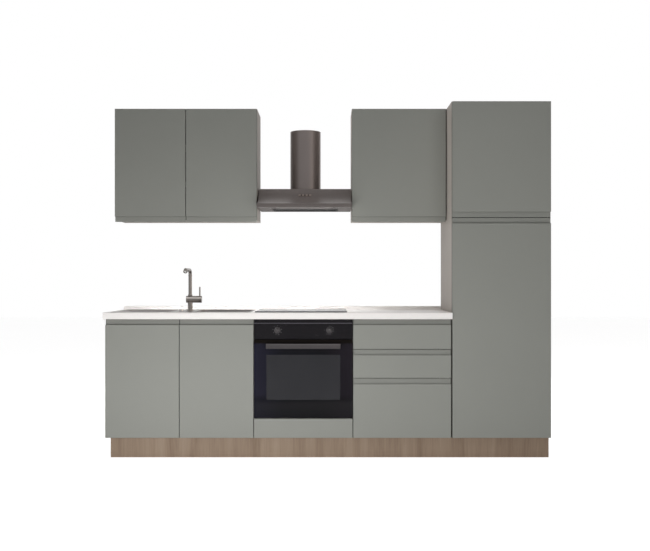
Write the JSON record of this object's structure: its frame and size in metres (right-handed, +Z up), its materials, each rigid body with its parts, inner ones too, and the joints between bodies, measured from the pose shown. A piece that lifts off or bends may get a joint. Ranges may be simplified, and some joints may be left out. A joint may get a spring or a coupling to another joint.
{
  "type": "fitted kitchen",
  "caption": "Straight fitted kitchen run with base, wall and tall units, worktop, inset sink and tap, hob, built-under oven and chimney hood; doors, drawers and controls move.",
  "frame": {"origin": "middle of the footprint's box, on the floor", "axes": "+X along the run from the sink end to the tall unit, +Y towards the wall, +Z up; the fronts face -Y"},
  "size_m": [2.708, 0.622, 2.165],
  "materials": {
    "carcass_board": "melamine-faced board, warm grey-brown",
    "shelf_board": "melamine-faced board, pale grey",
    "drawer_board": "foil-wrapped board, pale grey",
    "front_lacquer": "satin lacquer, grey-green",
    "plinth_board": "brown woodgrain foil",
    "worktop_laminate": "fine-textured pale laminate",
    "upstand_profile": "pale moulded profile",
    "leg_plastic": "black moulded plastic",
    "fitting_steel": "nickel-plated steel",
    "sink_steel": "brushed stainless steel",
    "tap_steel": "brushed nickel",
    "waste_plastic": "white polypropylene",
    "pipe_copper": "drawn copper pipe",
    "knob_metal": "polished metal",
    "hob_glass": "black glass ceramic",
    "hob_tray": "zinc-coated sheet",
    "oven_sheet": "zinc-coated sheet",
    "oven_enamel": "dark speckled enamel",
    "oven_wire": "plated wire",
    "element_steel": "sheathed heating element",
    "seal_rubber": "black silicone",
    "oven_front": "near-black painted sheet",
    "oven_frame": "near-black anodised frame",
    "oven_glass": "near-black glass",
    "handle_metal": "dark brushed metal",
    "knob_plastic": "dark satin plastic",
    "hood_steel": "brown-grey satin metal",
    "filter_mesh": "layered metal mesh",
    "fan_plastic": "black moulded plastic",
    "motor_metal": "grey casing",
    "lamp_glass": "frosted lamp lens"
  },
  "bodies": {
    "kitchen": {"sink_cabinet": "carcass_board", "oven_housing": "carcass_board", "drawer_cabinet": "carcass_board", "tall_cabinet": "carcass_board", "wall_cabinet_left": "carcass_board", "wall_cabinet_right": "carcass_board", "shelves": "shelf_board", "wall_rails": "fitting_steel", "legs": "leg_plastic", "plinth": "plinth_board", "hinge_arms": "fitting_steel", "drawer_slides": "fitting_steel", "worktop": "worktop_laminate", "upstand": "upstand_profile", "sink": "sink_steel", "sink_waste": "waste_plastic", "tap_body": "tap_steel", "tap_pipes": "pipe_copper", "hob_glass": "hob_glass", "hob_case": "hob_tray", "oven_casing": "oven_sheet", "oven_cavity": "oven_enamel", "oven_elements": "element_steel", "oven_rack": "oven_wire", "oven_seal": "seal_rubber", "oven_panel": "oven_front", "oven_hinges": "fitting_steel", "oven_filler": "front_lacquer", "hood_canopy": "hood_steel", "hood_chimney": "hood_steel", "hood_motor": "motor_metal", "hood_lamps": "lamp_glass", "hood_switch_plate": "hood_steel"},
    "sink_door_left": {"sink_door_left": "front_lacquer"},
    "sink_door_right": {"sink_door_right": "front_lacquer"},
    "wall_door_left": {"wall_door_left": "front_lacquer"},
    "wall_door_middle": {"wall_door_middle": "front_lacquer"},
    "wall_door_right": {"wall_door_right": "front_lacquer"},
    "tall_door_lower": {"tall_door_lower": "front_lacquer"},
    "tall_door_upper": {"tall_door_upper": "front_lacquer"},
    "drawer_top": {"drawer_front_top": "front_lacquer", "drawer_box_top": "drawer_board"},
    "drawer_middle": {"drawer_front_middle": "front_lacquer", "drawer_box_middle": "drawer_board"},
    "drawer_bottom": {"drawer_front_bottom": "front_lacquer", "drawer_box_bottom": "drawer_board"},
    "oven_door": {"oven_door": "oven_frame", "oven_door_glass": "oven_glass", "oven_handle": "handle_metal"},
    "oven_knob_left": {"oven_knob_left": "knob_plastic"},
    "oven_knob_right": {"oven_knob_right": "knob_plastic"},
    "tap_spout": {"tap_spout": "tap_steel"},
    "tap_cap": {"tap_cap": "tap_steel"},
    "tap_lever": {"tap_lever": "tap_steel"},
    "waste_knob": {"waste_knob": "knob_metal"},
    "sink_plug": {"sink_plug": "knob_metal"},
    "hood_filter": {"hood_filter": "filter_mesh"},
    "hood_fan": {"hood_fan": "fan_plastic"},
    "hood_button_light": {"hood_button_light": "knob_plastic"},
    "hood_button_slow": {"hood_button_slow": "knob_plastic"},
    "hood_button_fast": {"hood_button_fast": "knob_plastic"}
  },
  "joints": [
    {"name": "sink_door_left_hinge", "type": "hinge", "parent": "kitchen", "child": "sink_door_left", "pos_m": [-1.336, -0.2605, 0.485], "axis": [0, 0, -1], "range_deg": [0, 95]},
    {"name": "sink_door_right_hinge", "type": "hinge", "parent": "kitchen", "child": "sink_door_right", "pos_m": [-0.456, -0.2605, 0.485], "axis": [0, 0, 1], "range_deg": [0, 90]},
    {"name": "wall_door_left_hinge", "type": "hinge", "parent": "kitchen", "child": "wall_door_left", "pos_m": [-1.336, -0.0035, 1.806], "axis": [0, 0, -1], "range_deg": [0, 95]},
    {"name": "wall_door_middle_hinge", "type": "hinge", "parent": "kitchen", "child": "wall_door_middle", "pos_m": [-0.456, -0.0035, 1.806], "axis": [0, 0, 1], "range_deg": [0, 90]},
    {"name": "wall_door_right_hinge", "type": "hinge", "parent": "kitchen", "child": "wall_door_right", "pos_m": [0.74, -0.0035, 1.806], "axis": [0, 0, 1], "range_deg": [0, 90]},
    {"name": "tall_door_lower_hinge", "type": "hinge", "parent": "kitchen", "child": "tall_door_lower", "pos_m": [1.344, -0.2605, 0.7925], "axis": [0, 0, 1], "range_deg": [0, 95]},
    {"name": "tall_door_upper_hinge", "type": "hinge", "parent": "kitchen", "child": "tall_door_upper", "pos_m": [1.344, -0.2605, 1.812], "axis": [0, 0, 1], "range_deg": [0, 95]},
    {"name": "drawer_top_slide", "type": "slide", "parent": "kitchen", "child": "drawer_top", "axis": [0, -1, 0], "range_m": [0, 0.34]},
    {"name": "drawer_middle_slide", "type": "slide", "parent": "kitchen", "child": "drawer_middle", "axis": [0, -1, 0], "range_m": [0, 0.34]},
    {"name": "drawer_bottom_slide", "type": "slide", "parent": "kitchen", "child": "drawer_bottom", "axis": [0, -1, 0], "range_m": [0, 0.34]},
    {"name": "oven_door_hinge", "type": "hinge", "parent": "kitchen", "child": "oven_door", "pos_m": [-0.146, -0.261, 0.2545], "axis": [1, 0, 0], "range_deg": [0, 90]},
    {"name": "oven_knob_left_turn", "type": "hinge", "parent": "kitchen", "child": "oven_knob_left", "pos_m": [-0.303, -0.284, 0.778], "axis": [0, -1, 0], "continuous": true},
    {"name": "oven_knob_right_turn", "type": "hinge", "parent": "kitchen", "child": "oven_knob_right", "pos_m": [0.011, -0.284, 0.778], "axis": [0, 1, 0], "range_deg": [0, 270]},
    {"name": "tap_spout_swivel", "type": "hinge", "parent": "kitchen", "child": "tap_spout", "pos_m": [-0.872, 0.021, 0.985], "axis": [0, 0, 1], "range_deg": [-80, 80]},
    {"name": "tap_cap_turn", "type": "hinge", "parent": "kitchen", "child": "tap_cap", "pos_m": [-0.824, 0.021, 0.959], "axis": [1, 0, 0], "range_deg": [-40, 40]},
    {"name": "tap_lever_tilt", "type": "hinge", "parent": "tap_cap", "child": "tap_lever", "pos_m": [-0.811, 0.021, 0.972], "axis": [0, 1, 0], "range_deg": [0, 25]},
    {"name": "waste_knob_turn", "type": "hinge", "parent": "kitchen", "child": "waste_knob", "pos_m": [-0.907, -0.119, 0.89], "axis": [0, 0, 1], "range_deg": [0, 90]},
    {"name": "sink_plug_lift", "type": "slide", "parent": "kitchen", "child": "sink_plug", "axis": [0, 0, 1], "range_m": [0, 0.008]},
    {"name": "hood_filter_hinge", "type": "hinge", "parent": "kitchen", "child": "hood_filter", "pos_m": [-0.144, 0.275, 1.541], "axis": [1, 0, 0], "range_deg": [0, 75]},
    {"name": "hood_fan_spin", "type": "hinge", "parent": "kitchen", "child": "hood_fan", "pos_m": [-0.144, 0.21, 1.59], "axis": [0, 0, 1], "continuous": true},
    {"name": "hood_button_light_press", "type": "slide", "parent": "kitchen", "child": "hood_button_light", "axis": [0, 0.6189, -0.7854], "range_m": [0, 0.002], "stiffness_N_per_m": 300},
    {"name": "hood_button_slow_press", "type": "slide", "parent": "kitchen", "child": "hood_button_slow", "axis": [0, 0.6189, -0.7854], "range_m": [0, 0.002], "stiffness_N_per_m": 300},
    {"name": "hood_button_fast_press", "type": "slide", "parent": "kitchen", "child": "hood_button_fast", "axis": [0, 0.6189, -0.7854], "range_m": [0, 0.002], "stiffness_N_per_m": 300}
  ],
  "couplings": [
    {"joint": "waste_knob_turn", "follows": "sink_plug_lift", "rad_per_m": 196.34}
  ]
}
